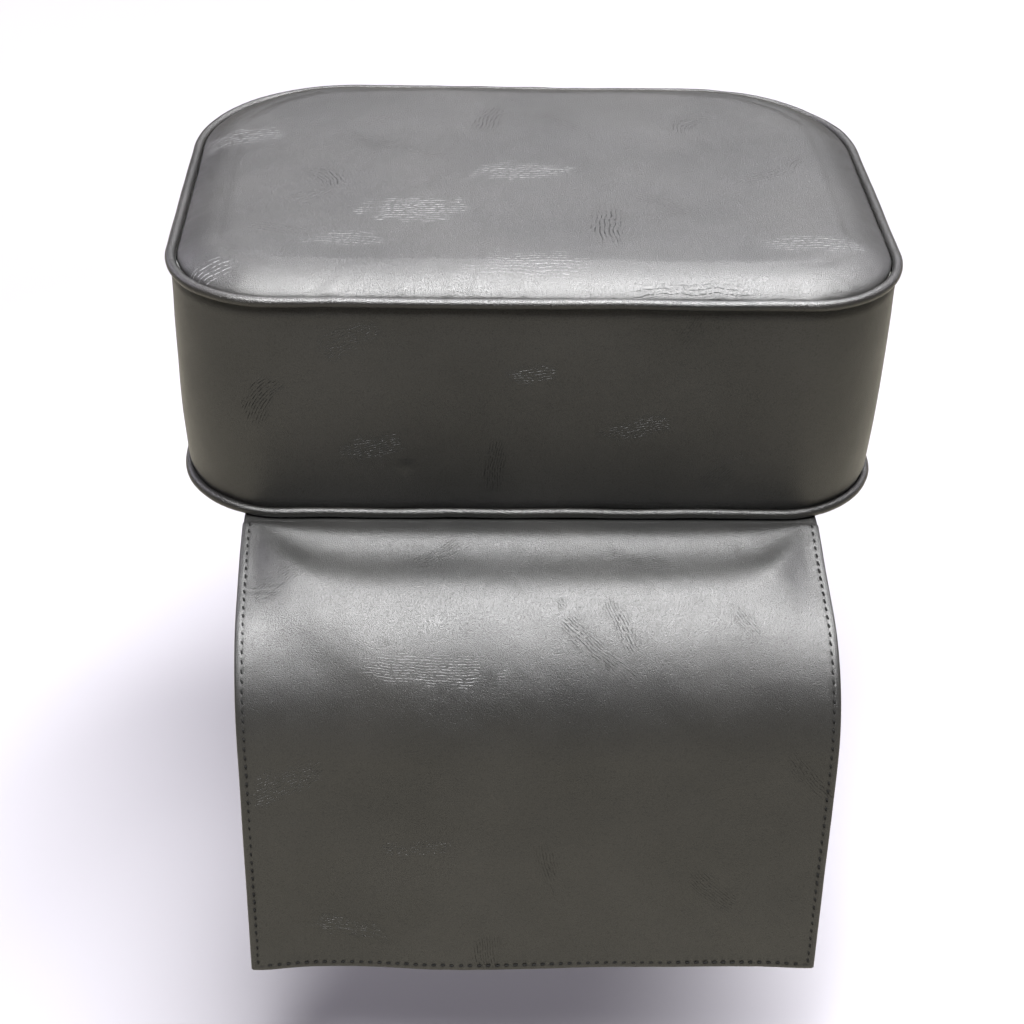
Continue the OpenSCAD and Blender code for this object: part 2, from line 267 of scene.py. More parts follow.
def evened(obj, move, pinned):
    """A movement of the mesh's points without its sharpest folds, which a firm leatherette doesn't take."""
    edges = np.zeros(len(obj.data.edges) * 2, int)
    obj.data.edges.foreach_get("vertices", edges)
    a, b = edges.reshape(-1, 2).T
    near = np.bincount(np.concatenate([a, b]), minlength=len(move))[:, None]
    for _ in range(EVEN_ROUNDS):
        total = np.zeros_like(move)
        for axis in range(3):
            weights = np.concatenate([move[b, axis], move[a, axis]])
            total[:, axis] = np.bincount(np.concatenate([a, b]), weights, len(move))
        move = (move + total / near) / 2
        move[pinned] = 0
    return move


def puff(obj, pinned, pressure, cap, slack=0.0):
    """Blows a sheet out with Blender's cloth. Pinned points stay, and no point moves further than cap."""
    start = coords(obj)
    pins = obj.vertex_groups.new(name="pins")
    pins.add([int(i) for i in pinned], 1.0, "REPLACE")
    cloth = obj.modifiers.new("cloth", "CLOTH")
    settings = cloth.settings
    settings.quality = 6
    settings.mass = 0.25
    settings.tension_stiffness = settings.compression_stiffness = 25
    settings.shear_stiffness = 15
    settings.bending_stiffness = 6.0
    settings.tension_damping = settings.compression_damping = settings.shear_damping = 15
    settings.vertex_group_mass = "pins"
    settings.use_pressure = True
    settings.uniform_pressure_force = pressure
    settings.shrink_min = -slack
    settings.effector_weights.gravity = 0
    cloth.collision_settings.use_collision = False
    cloth.point_cache.frame_start = 1
    cloth.point_cache.frame_end = CLOTH_FRAMES
    scene = bpy.context.scene
    for number in range(1, CLOTH_FRAMES + 1):
        scene.frame_set(number)
    apply_modifiers(obj)
    obj.vertex_groups.clear()
    move = evened(obj, coords(obj) - start, pinned)
    far = np.linalg.norm(move, axis=1, keepdims=True)
    set_coords(obj, start + move * np.tanh(far / cap) * cap / np.maximum(far, 1e-9))
    scene.frame_set(1)


# ------------------------------------------------------------------ creases

# Where the leatherette is creased: the patch's middle across and along the sheet, the heading of its creases
# in degrees, its half length and half width, and how much the creases bow, all lengths in mm. Then how deep
# they are, as a share. Scuffed patches also have pale lines.
TOP_SCUFFS = [
    (-172, 40, 12, 24, 12, 2, 0.9), (-66, -52, 2, 29, 15, 0, 1.0), (-4, -4, 4, 29, 11, 1, 0.9),
    (-2, -112, 0, 30, 12, 0, 0.7), (150, -88, 2, 30, 10, 1, 0.7), (-174, -117, 25, 14, 9, 1, 0.9),
    (-102, -86, -4, 22, 9, 2, 0.6),
]
TOP_CREASES = [
    (-118, -12, -52, 15, 9, 5, 0.9), (-126, -38, 40, 17, 7, -3, 0.6), (-140, -78, -14, 24, 6, 2, 0.7),
    (-24, 70, 72, 17, 9, 2, 1.0), (-92, 62, 40, 17, 6, 0, 0.7), (-88, 34, -28, 16, 8, 1, 0.7),
    (-62, 20, -14, 20, 5, 2, 0.6), (18, 66, -46, 20, 7, 1, 0.7), (40, -70, 86, 20, 9, 1, 1.0),
    (72, -42, -42, 22, 7, 3, 0.7), (94, 62, 62, 14, 8, 5, 0.8), (108, 74, 10, 12, 5, -2, 0.5),
    (134, -6, 28, 20, 6, -3, 0.7), (154, 12, 62, 12, 5, 0, 0.6), (84, -131, 0, 36, 6, 1, 0.55),
]
BAND_CREASES = [
    (-148, 80, 58, 18, 8, 3, 0.9), (-90, 50, 16, 20, 8, 1, 0.8), (-21, 38, 84, 20, 6, 2, 1.0),
    (-2, 98, 6, 14, 6, 0, 0.6), (56, 64, 14, 22, 7, 1, 0.7), (102, 32, 50, 16, 8, 2, 0.8),
    (80, 126, 60, 12, 6, 0, 0.7), (-100, 118, 30, 22, 9, 1, 0.5), (318, 70, 75, 20, 7, 2, 0.8),
    (-330, 60, 40, 22, 7, 2, 0.8), (432, 95, 15, 24, 6, 1, 0.7), (-450, 40, 80, 18, 7, 0, 0.7),
]
REAR_CREASES = [(-40, 100, 20, 26, 8, 2, 0.8), (60, 30, 75, 16, 7, 1, 0.8), (-70, 40, -30, 18, 7, 1, 0.6)]
APRON_SCUFFS = [(-60, 96, 3, 36, 9, 1, 1.0)]
APRON_CREASES = [
    (-54, 26, -36, 18, 6, 1, 0.8), (-142, 46, -34, 18, 8, 1, 0.7), (28, 82, 42, 26, 6, 2, 0.9),
    (46, 74, 66, 18, 5, 1, 0.6), (-134, 158, -26, 26, 9, 2, 0.9), (6, 208, 75, 16, 6, 1, 0.7),
    (-28, 268, 82, 18, 8, 2, 0.8), (-106, 250, 12, 26, 7, -2, 0.7), (146, 154, 52, 20, 6, 1, 0.7),
    (98, 226, 42, 22, 7, 2, 0.7), (58, 30, 12, 24, 6, 1, 0.7), (-66, 200, -6, 24, 5, 2, 0.6),
    (112, 70, 55, 14, 5, 0, 0.5),
]
BASE_CREASES = [(-90, 30, 30, 30, 10, 3, 0.8), (60, -50, 70, 30, 9, 2, 0.8), (110, 60, 10, 34, 10, 2, 0.7)]


def crease_mask(u, v, patches, seed):
    """For points u, v in metres on a sheet: how creased each one is, and its distances across and along the
    creases in mm."""
    u, v = u / MM, v / MM
    shown = np.zeros(u.shape)
    across = np.zeros(u.shape)
    along = np.zeros(u.shape)
    for number, (pu, pv, heading, half_length, half_width, bow, depth) in enumerate(patches):
        c, s = math.cos(math.radians(heading)), math.sin(math.radians(heading))
        p = ((u - pu) * c + (v - pv) * s) / half_length
        q = (v - pv) * c - (u - pu) * s + bow * p * p
        edge = 1 + 0.2 * waves(np.stack([p * half_length, q], -1), 14, seed + number)
        reach = (np.abs(p) ** 2.5 + np.abs(q / half_width) ** 2.5) ** 0.4 * edge
        mask = depth * (1 - smooth((reach - 0.6) / 0.5))
        across = np.where(mask > shown, q, across)
        along = np.where(mask > shown, p * half_length + pu, along)
        shown = np.maximum(shown, mask)
    return shown, across, along


LINE_PITCH_MM = 1.5       # between the fine lines of a creased patch
TOP_LINE_PITCH_MM = 2.5   # on the top, where they lie further apart


def crease_values(u, v, dents, scuffs=(), pitch_mm=LINE_PITCH_MM):
    """What the leatherette's shader reads at each point: creased, scuffed, how many lines across, and the
    distance along."""
    creased, across, along = crease_mask(u, v, dents, 100)
    scuffed, scuff_across, scuff_along = crease_mask(u, v, scuffs, 200)
    across = np.where(scuffed > creased, scuff_across, across)
    along = np.where(scuffed > creased, scuff_along, along)
    return {"creased": creased, "scuffed": scuffed, "across": across / pitch_mm, "along": along}


def no_creases(obj):
    zero = np.zeros(len(obj.data.vertices))
    add_values(obj, creased=zero, scuffed=zero, across=zero, along=zero)


CREASE_RELIEF = 0.04 * MM
CREASE_FOLD = 3.5       # fine lines to each larger fold


def crease_relief(values, where):
    """The larger folds of the creased patches, as a height."""
    phase = values["across"] / CREASE_FOLD + 0.5 * waves(where / MM, 22, 5)
    shown = np.maximum(values["creased"], 0.5 * values["scuffed"])
    return CREASE_RELIEF * shown * (np.abs(np.sin(math.pi * phase)) - 0.6)


def relief(obj, u, v, values, extra=0.0):
    """Creases a divided sheet and gives it a slight unevenness, along its normals."""
    where = np.stack([u, v], -1)
    height = crease_relief(values, where) + extra
    height = height + 0.22 * MM * waves(where, 75 * MM, 3) + 0.03 * MM * waves(where, 18 * MM, 4)
    set_coords(obj, coords(obj) + normals(obj) * height[:, None])
    add_values(obj, **values)


# ------------------------------------------------------------------ panels


def panel_rings(first_inset, last_inset, count):
    """A panel's rounded rectangle: rings that follow the outline, then a patch that fills the last ring.
    Returns its plan points, faces and the number of points in one ring."""
    mids = STARTS[[1, 3, 5, 7]] + np.array([FRONT_R, REAR_R, REAR_R, FRONT_R]) * math.pi / 4
    ends = [mids[3] - LOOP, mids[0], mids[1], mids[2], mids[3]]
    wide = int(round((ends[1] - ends[0]) / GRID))
    deep = int(round((ends[2] - ends[1]) / GRID))
    counts = [wide, deep, wide, deep]
    s = np.concatenate([np.linspace(ends[i], ends[i + 1], counts[i], endpoint=False) for i in range(4)])
    xy, normal = plan(s)
    insets = first_inset + (last_inset - first_inset) * np.linspace(0, 1, count) ** 1.35
    points = [xy - inset * normal for inset in insets]
    ring = len(s)
    faces = grid_faces(count, ring, closed_cols=True)
    last = (count - 1) * ring
    rim = points[-1]
    front, right = rim[:wide + 1], rim[wide:wide + deep + 1]
    rear = rim[wide + deep:2 * wide + deep + 1][::-1]
    left = np.vstack([rim[2 * wide + deep:], rim[:1]])[::-1]
    a, b = np.linspace(0, 1, wide + 1)[None, :, None], np.linspace(0, 1, deep + 1)[:, None, None]
    patch = (1 - b) * front[None] + b * rear[None] + (1 - a) * left[:, None] + a * right[:, None]
    patch -= ((1 - a) * (1 - b) * front[0] + a * (1 - b) * front[-1]
              + (1 - a) * b * rear[0] + a * b * rear[-1])
    index = np.zeros((deep + 1, wide + 1), int)
    index[0] = last + np.arange(wide + 1)
    index[:, -1] = last + wide + np.arange(deep + 1)
    index[-1] = last + (2 * wide + deep) - np.arange(wide + 1)
    index[:, 0] = last + np.mod(2 * (wide + deep) - np.arange(deep + 1), ring)
    index[1:-1, 1:-1] = last + ring + np.arange((deep - 1) * (wide - 1)).reshape(deep - 1, wide - 1)
    points.append(patch[1:-1, 1:-1].reshape(-1, 2))
    for i in range(deep):
        for j in range(wide):
            faces.append((index[i, j], index[i, j + 1], index[i + 1, j + 1], index[i + 1, j]))
    faces = [tuple(int(k) for k in f) for f in faces]
    return np.vstack(points), faces, ring


ROLL = 22 * MM          # how wide the roll at the top panel's edge is
# The crown's three parts, as a share of its height and a width: the tight turn at the seam, the roll, and
# the last rise to the middle.
CROWN_PARTS = [(0.21, 4 * MM), (0.74, ROLL), (0.05, 80 * MM)]


def crown_height(inset):
    """The top panel's height above its seam, at a distance in from its edge."""
    (turn, turn_w), (roll, roll_w), (middle, middle_w) = CROWN_PARTS
    left = [1 - np.clip(inset / w, 0, 1) for w in (turn_w, roll_w, middle_w)]
    rounded = turn * np.sqrt(1 - left[0] ** 2)
    return CROWN * (rounded + roll * (1 - left[1] ** 2) + middle * (1 - left[2] ** 2))


PUCKER_PITCH = 11 * MM
FINE_PUCKER_PITCH = 4.6 * MM
PLAN_RADIUS = 0.19      # a mean one, which turns an angle round the top into a length


def puckers(distance, along, seed):
    """Small gathers that run out from a seam."""
    wave = waves(np.stack([along, distance * 0.25], -1), PUCKER_PITCH, seed)
    return 0.13 * MM * np.exp(-(distance / (9 * MM)) ** 1.3) * wave


def fine_puckers(distance, along, seed):
    """The needle's small wrinkles, right beside a seam."""
    wave = waves(np.stack([along, distance * 0.4], -1), FINE_PUCKER_PITCH, seed)
    return 0.05 * MM * np.exp(-(distance / (5 * MM)) ** 1.5) * wave


def make_top_panel():
    xy, faces, ring = panel_rings(PANEL_INSET, PANEL_INSET + ROLL, 19)
    inset = inset_of(xy[:, 0], xy[:, 1]) - PANEL_INSET
    z = TOP_SEAM + crown_height(np.maximum(inset, 0))
    obj = new_mesh("top_cover", np.column_stack([xy, z]), faces)
    add_values(obj, u=xy[:, 0], v=xy[:, 1])
    puff(obj, np.arange(2 * ring), pressure=3.0, cap=0.6 * MM)
    divide(obj)
    u, v = values_of(obj, "u"), values_of(obj, "v")
    inset = np.maximum(inset_of(u, v) - PANEL_INSET, 0)
    around = np.arctan2(v, u) * PLAN_RADIUS
    gathers = puckers(inset, around, 11) + fine_puckers(inset, around, 12)
    values = crease_values(u, v, TOP_CREASES, TOP_SCUFFS, TOP_LINE_PITCH_MM)
    relief(obj, u, v, values, gathers * smooth(inset / (2 * MM)))
    return thicken(obj)


BASE_LAP = 0.8 * MM     # how far the cover reaches out past the CAD base's edge


def make_base_panel():
    edge = BASE_INSET - BASE_LAP
    xy, faces, _ = panel_rings(edge, BASE_INSET + 26 * MM, 11)
    inset = inset_of(xy[:, 0], xy[:, 1]) - edge
    rise = (BASE_SEAM - 0.4 * MM) * (1 - np.sqrt(1 - (1 - np.clip(inset / (5 * MM), 0, 1)) ** 2))
    obj = new_mesh("base_cover", np.column_stack([xy, rise]), [f[::-1] for f in faces])
    add_values(obj, u=xy[:, 0], v=xy[:, 1])
    divide(obj)
    u, v = values_of(obj, "u"), values_of(obj, "v")
    values = crease_values(u, v, BASE_CREASES)
    where = np.stack([u, v], -1)
    inset = inset_of(u, v) - BASE_INSET
    dimple = smooth((inset - 8 * MM) / (40 * MM)) * (0.35 + 0.25 * waves(where, 90 * MM, 8)) * MM
    lift = np.maximum(dimple + np.maximum(crease_relief(values, where), 0), 0)
    set_coords(obj, coords(obj) + np.array([0, 0, 1]) * lift[:, None])
    add_values(obj, **values)
    return thicken(obj)


# ------------------------------------------------------------------ band

BAND_TOP = TOP_SEAM - 1.2 * MM
BAND_BOTTOM = BASE_SEAM + 1.2 * MM
SEAM_TUCK = 1.6 * MM    # how far the band turns in where it meets the piping
ALLOWANCE_EDGE = 8 * MM     # where the seam allowance ends behind the band, which shows as a faint step
ALLOWANCE_STEP = 0.22 * MM
BAND_DENT = (-70 * MM, 37 * MM, 7 * MM, 0.7 * MM)   # along, up, radius, depth


def band_offset(s, z):
    """How far the band stands out from its flat face: a gentle swell, and a turn inwards at both seams."""
    height = BAND_TOP - BAND_BOTTOM
    v = np.clip((z - BAND_BOTTOM) / height, 0, 1)
    swell = 1.6 * MM * (1 - (2 * v - 1) ** 2)
    to_seam = np.minimum(z - BAND_BOTTOM, BAND_TOP - z)
    tuck = SEAM_TUCK * (1 - smooth(to_seam / (7 * MM)))
    gathers = sum(
        shape(distance, s, seed) for shape in (puckers, fine_puckers)
        for distance, seed in ((BAND_TOP - z, 21), (z - BAND_BOTTOM, 22)))
    step = -ALLOWANCE_STEP * smooth((BAND_TOP - z - ALLOWANCE_EDGE) / (1.6 * MM) + 0.12 * waves(
        np.stack([s, 0 * s], -1), 7 * MM, 23))
    return swell - tuck + step + gathers * smooth(to_seam / (2 * MM))


def place_on_band(s, z, out):
    xy, normal = plan(s)
    return np.concatenate([xy + out[..., None] * normal, z[..., None]], -1)


def make_front_band():
    end = STARTS[5] - REAR_HALF - SEAM_X
    cols, rows = int(2 * end / GRID), int((BAND_TOP - BAND_BOTTOM) / GRID)
    s, z = np.meshgrid(np.linspace(-end, end, cols), np.linspace(BAND_BOTTOM, BAND_TOP, rows))
    points = place_on_band(s, z, band_offset(s, z)).reshape(-1, 3)
    obj = new_mesh("front_band_cover", points, grid_faces(rows, cols))
    add_values(obj, u=s.ravel(), v=z.ravel())
    index = np.arange(rows * cols).reshape(rows, cols)
    rims = (index[:2], index[-2:], index[:, :2], index[:, -2:])
    edge = np.concatenate([rim.ravel() for rim in rims])
    puff(obj, np.unique(edge), pressure=2.0, cap=1.8 * MM, slack=0.001)
    divide(obj)
    u, v = values_of(obj, "u"), values_of(obj, "v")
    to_end = end - np.abs(u)
    fold_in = -1.0 * MM * (1 - smooth(to_end / (4 * MM)))
    seam_gathers = 0.6 * puckers(to_end, v, 31) * smooth(to_end / (3 * MM))
    along, up, radius, depth = BAND_DENT
    dent = -depth * (1 - smooth(np.hypot(u - along, v - up) / radius))
    relief(obj, u, v, crease_values(u, v, BAND_CREASES), fold_in + seam_gathers + dent)
    return thicken(obj)


def make_rear_band(name, edge_z, fold_z, seed):
    """Half of the rear band: from the piping to the zip, where it folds back behind itself."""
    toward = 1 if fold_z > edge_z else -1
    fold_r = (SKIN * 2 + 0.1 * MM) / 2
    flat = np.linspace(0, abs(fold_z - edge_z) - fold_r, int(abs(fold_z - edge_z) / GRID))
    turn = np.linspace(0, math.pi, 9)[1:]
    back = np.linspace(0, 11 * MM, 6)[1:]
    down = np.concatenate([flat, flat[-1] + fold_r * np.sin(turn), flat[-1] - back])
    depth = np.concatenate([0 * flat, fold_r * (1 - np.cos(turn)), 2 * fold_r + 0 * back])
    x = np.linspace(SEAM_X, -SEAM_X, int(2 * SEAM_X / GRID))
    grid_x, grid_down = np.meshgrid(x, down)
    z = edge_z + toward * grid_down
    to_edge = np.minimum(grid_down, 40 * MM)
    face = band_offset(grid_x, z) * (depth == 0)[:, None]
    sink = 0.9 * MM * (1 - smooth((SEAM_X - np.abs(grid_x)) / (4 * MM)))
    near_fold = smooth((flat[-1] - grid_down) / (20 * MM))
    y = HALF_D + face * near_fold - depth[:, None] - sink + 0.25 * MM * waves(
        np.stack([grid_x, to_edge], -1), 60 * MM, seed) * near_fold
    faces = grid_faces(len(down), len(x))
    if toward < 0:
        faces = [f[::-1] for f in faces]
    obj = new_mesh(name, np.stack([grid_x, y, z], -1).reshape(-1, 3), faces)
    add_values(obj, u=grid_x.ravel(), v=z.ravel())
    divide(obj)
    add_values(obj, **crease_values(values_of(obj, "u"), values_of(obj, "v"), REAR_CREASES))
    return thicken(obj, SKIN * 0.94)


# ------------------------------------------------------------------ piping


def make_piping(name, seam_z, seed):
    """The bias strip round its cord: a slightly lumpy tube, with fine cross wrinkles on its corners."""
    around, sides = int(LOOP / (1.3 * MM)), 18
    s = np.linspace(0, LOOP, around, endpoint=False)
    xy, normal = plan(s)
    angle = np.linspace(0, 2 * math.pi, sides, endpoint=False)
    turn = s / LOOP * 2 * math.pi
    circle = np.stack([np.cos(turn), np.sin(turn)], -1) * LOOP / (2 * math.pi)
    corner_share = np.array([abs(n[0] * n[1]) for n in normal]) * 2
    r = PIPE_R - 0.12 * MM + 0.07 * MM * waves(circle, 24 * MM, seed)
    r = r[:, None] + 0.05 * MM * corner_share[:, None] * waves(circle, 3.2 * MM, seed + 1)[:, None]
    join = np.exp(-((s - LOOP / 2 - 30 * MM) / (7 * MM)) ** 2)
    r = r + 0.35 * MM * join[:, None]
    drift = 0.25 * MM * waves(circle, 60 * MM, seed + 2)
    out = r * np.cos(angle)[None] + 0.1 * MM
    z = seam_z + drift[:, None] + r * np.sin(angle)[None]
    points = np.concatenate([xy[:, None] + out[..., None] * normal[:, None], z[..., None]], -1)
    faces = [f[::-1] for f in grid_faces(around, sides, closed_cols=True, closed_rows=True)]
    obj = new_mesh(name, points.reshape(-1, 3), faces)
    no_creases(obj)
    return obj


# ------------------------------------------------------------------ apron

HINGE = Vector(joint["apron_swing"]["pos_m"])
APRON_HALF = apron_high.x
SLOPE = math.radians(27)        # of the upper run, below the horizontal
HANG = math.radians(80)         # of the hanging run
BEND_R = 74 * MM
SLOPE_LENGTH = 76 * MM
BEND_LENGTH = BEND_R * (HANG - SLOPE)
DROP_LENGTH = 135 * MM
APRON_LENGTH = SLOPE_LENGTH + BEND_LENGTH + DROP_LENGTH
APRON_GRID = 1.3 * MM
HEM = 12 * MM
HEM_GAP = SKIN + 0.05 * MM      # between the middles of a hem's two plies
STITCH_INSET = 3.5 * MM
STITCH_PITCH = 5.2 * MM
STITCH_LENGTH = 3.0 * MM
STITCH_LEAN = 0.22        # sideways per length, as a needle thread lies across its holes


ROOT_DIP = math.radians(33)     # how much flatter than its mean slope the sheet leaves the seam
LENS_DIP = math.radians(25.5)   # and lies over the seat
SAG = math.radians(6.5)         # how much steeper it is in the sag on its left
LENS_END = 62 * MM        # how far from the root the sheet lies over the seat
LEVELLING = 0.9           # how much of a height difference across it is evened out


def apron_angle(u, t):
    """The sheet's slope at a share u of its half width and a distance t from its root. It leaves the seam
    nearly level, dips, flattens over the seat, dips again and rolls over the seat's edge in one broad curve.
    The flat part is a lens: it narrows and runs up to the seam at both top corners, inside the side hems."""
    aside = np.abs(u) / 0.9
    middle = 1 - np.minimum(np.abs(u) / 0.97, 1) ** 4
    turn_start = (72 - 9 * middle) * MM
    turn_length = BEND_LENGTH + (4 + 13 * middle) * MM
    turned = np.clip((t - turn_start) / turn_length, 0, 1)
    angle = SLOPE + (HANG - SLOPE) * (turned + 0.2 * (smooth(turned) - turned))
    angle = angle + math.radians(2) * (1 - smooth((t - 55 * MM) / (35 * MM)))
    lens_t = (36 - 20 * np.minimum(aside, 1.05) ** 8) * MM
    lens_width = (15.5 - 6.5 * np.minimum(aside, 1) ** 4) * MM
    lens_depth = LENS_DIP * (1 - smooth((np.abs(u) - 0.80) / 0.17))
    angle = angle - lens_depth * np.exp(-np.abs((t - lens_t) / lens_width) ** 2.4)
    # On the left the sheet sags a little sooner, along a slant from the hem.
    sag_t = (66 + 130 * (u + 0.83)) * MM
    sag = SAG * smooth((-u - 0.35) / 0.35) * (1 - 0.6 * smooth((-u - 0.9) / 0.08))
    angle = angle + sag * np.exp(-((t - sag_t) / (19 * MM)) ** 2)
    root_reach = (12 - 5.4 * np.minimum(np.abs(u) / 0.85, 1.1) ** 6) * MM
    return angle - ROOT_DIP * np.exp(-(t / root_reach) ** 4)


def apron_shape():
    """The sheet's middle surface on a fine grid: distances out and down for each u and t."""
    u, t = np.linspace(-1, 1, 161), np.linspace(0, APRON_LENGTH, 400)
    angle = apron_angle(u[None], t[:, None])
    # What lies beside the lens slopes less, so that the sheet stays nearly level across.
    over_seat = angle[t < LENS_END].mean(0)
    level = LEVELLING * (over_seat[len(u) // 2] - over_seat)
    angle = angle + level * (1 - smooth((t[:, None] - LENS_END + 10 * MM) / (30 * MM)))
    step = t[1] - t[0]
    mean = (angle[1:] + angle[:-1]) / 2
    zero = np.zeros((1, len(u)))
    out = np.vstack([zero, np.cumsum(np.cos(mean) * step, 0)])
    down = np.vstack([zero, np.cumsum(np.sin(mean) * step, 0)])
    flat_down = SLOPE_LENGTH * math.sin(SLOPE) + BEND_R * (math.cos(SLOPE) - math.cos(HANG))
    hem = flat_down + DROP_LENGTH * math.sin(HANG)
    down += (hem - down[-1])[None] * smooth((t - 110 * MM) / (APRON_LENGTH - 110 * MM))[:, None]
    return u, t, out, down


SHAPE_U, SHAPE_T, SHAPE_OUT, SHAPE_DOWN = apron_shape()


def lookup(table, u, t):
    """Bilinear reading of a table over SHAPE_T and SHAPE_U."""
    a = np.clip((t / APRON_LENGTH) * (len(SHAPE_T) - 1), 0, len(SHAPE_T) - 1.001)
    b = np.clip((u + 1) / 2 * (len(SHAPE_U) - 1), 0, len(SHAPE_U) - 1.001)
    i, j = a.astype(int), b.astype(int)
    fa, fb = a - i, b - j
    low = table[i, j] * (1 - fb) + table[i, j + 1] * fb
    high = table[i + 1, j] * (1 - fb) + table[i + 1, j + 1] * fb
    return low * (1 - fa) + high * fa


def apron_middle(x, t):
    """Points of the sheet's middle surface, at x across it and t along it."""
    u = np.clip(x / APRON_HALF, -1, 1)
    out, down = lookup(SHAPE_OUT, u, t), lookup(SHAPE_DOWN, u, t)
    hanging = smooth((t - 120 * MM) / (APRON_LENGTH - 120 * MM))
    sway = 3 * MM * smooth(t / (170 * MM))
    where = np.stack([x, t], -1)
    drape = 1.1 * MM * hanging * waves(where * [1, 0.45], 150 * MM, 41)
    curl = 3 * MM * hanging ** 3 * smooth((-u - 0.55) / 0.45)   # the lower left corner swings in
    slant = 1.6 * MM * u * hanging                              # and hangs a little lower
    return np.stack([x + sway, HINGE.y - out - drape + curl, HINGE.z - down + slant], -1)


def apron_frame(x, t):
    """The middle surface and its upward normal."""
    e = 0.4 * MM
    across = apron_middle(x + e, t) - apron_middle(x - e, t)
    along = apron_middle(x, np.minimum(t + e, APRON_LENGTH)) - apron_middle(x, np.maximum(t - e, 0))
    normal = np.cross(along, across)
    return apron_middle(x, t), normal / np.linalg.norm(normal, axis=-1, keepdims=True)


FIRST_STITCH = 3 * MM     # from the root


def stitch_groove(x, t):
    """The hem's stitching pulls the sheet in along a line, most at each stitch, and leaves its edge full."""
    to_side, to_foot = APRON_HALF - np.abs(x), APRON_LENGTH - t
    edge = np.minimum(to_side, to_foot)
    along = np.where(to_side < to_foot, t - FIRST_STITCH, x)
    pulled = 0.22 + 0.2 * np.cos(2 * math.pi * along / STITCH_PITCH)
    line = -pulled * MM * np.exp(-((edge - STITCH_INSET) / (0.9 * MM)) ** 2)
    rounded = -0.35 * MM * (1 - smooth(edge / (2.2 * MM)))
    return line + rounded


FINE_EDGE = 10 * MM       # a sheet's points lie closer together within this distance of its fold
FINEST_EDGE = 6 * MM


def folded(length, start_free, spacing, first=()):
    """Positions along a sheet that folds back at its end: distance along, and depth in hem gaps."""
    r = HEM_GAP / 2
    count = int((length - start_free - FINE_EDGE) / spacing)
    main = np.concatenate([
        first,
        np.linspace(start_free, length - FINE_EDGE, count, endpoint=False),
        np.linspace(length - FINE_EDGE, length - FINEST_EDGE, 4, endpoint=False),
        np.linspace(length - FINEST_EDGE, length - r, 14),
    ])
    turn = np.linspace(0, math.pi, 7)[1:]
    back = np.linspace(0, HEM, 6)[1:]
    main = np.sort(main)
    place = np.concatenate([main, length - r + r * np.sin(turn), length - r - back])
    depth = np.concatenate([0 * main, (1 - np.cos(turn)) / 2, 1 + 0 * back])
    return place, depth


def make_apron():
    half, half_depth = folded(APRON_HALF, 0.0, APRON_GRID)
    x = np.concatenate([-half[:0:-1], half])
    x_depth = np.concatenate([half_depth[:0:-1], half_depth])
    t, t_depth = folded(APRON_LENGTH, 1.2 * MM, APRON_GRID, np.array([0, 0.1, 0.5]) * MM)
    grid_x, grid_t = np.meshgrid(x, t)
    side = np.broadcast_to(x_depth[None], grid_x.shape)
    foot = np.broadcast_to(t_depth[:, None], grid_x.shape)
    over_hem = smooth((np.abs(grid_x) - (APRON_HALF - HEM - 2 * MM)) / (2 * MM))
    depth = HEM_GAP * (side + foot * (1 + over_hem * (side == 0)))
    middle, normal = apron_frame(grid_x, grid_t)
    values = crease_values(grid_x, grid_t, APRON_CREASES, APRON_SCUFFS)
    where = np.stack([grid_x, grid_t], -1)
    height = crease_relief(values, where) + stitch_groove(grid_x, grid_t)
    height = height + 0.25 * MM * waves(where, 60 * MM, 43) * smooth(grid_t / (30 * MM))
    height = height + 0.05 * MM * waves(where, 14 * MM, 44)
    points = middle + normal * (height - depth)[..., None]
    rows, cols = grid_x.shape
    hidden = (side > 0) & (foot > 0)
    keep = [f for f in grid_faces(rows, cols) if not any(hidden.flat[k] for k in f)]
    obj = new_mesh("apron", points.reshape(-1, 3), [f[::-1] for f in keep])
    add_values(obj, **{key: value.ravel() for key, value in values.items()})
    drop_loose(obj)
    thicken(obj, SKIN, offset=0)
    return obj


def drop_loose(obj):
    """Deletes points that no face uses."""
    bm = bmesh.new()
    bm.from_mesh(obj.data)
    bmesh.ops.delete(bm, geom=[v for v in bm.verts if not v.link_faces], context="VERTS")
    bm.to_mesh(obj.data)
    bm.free()


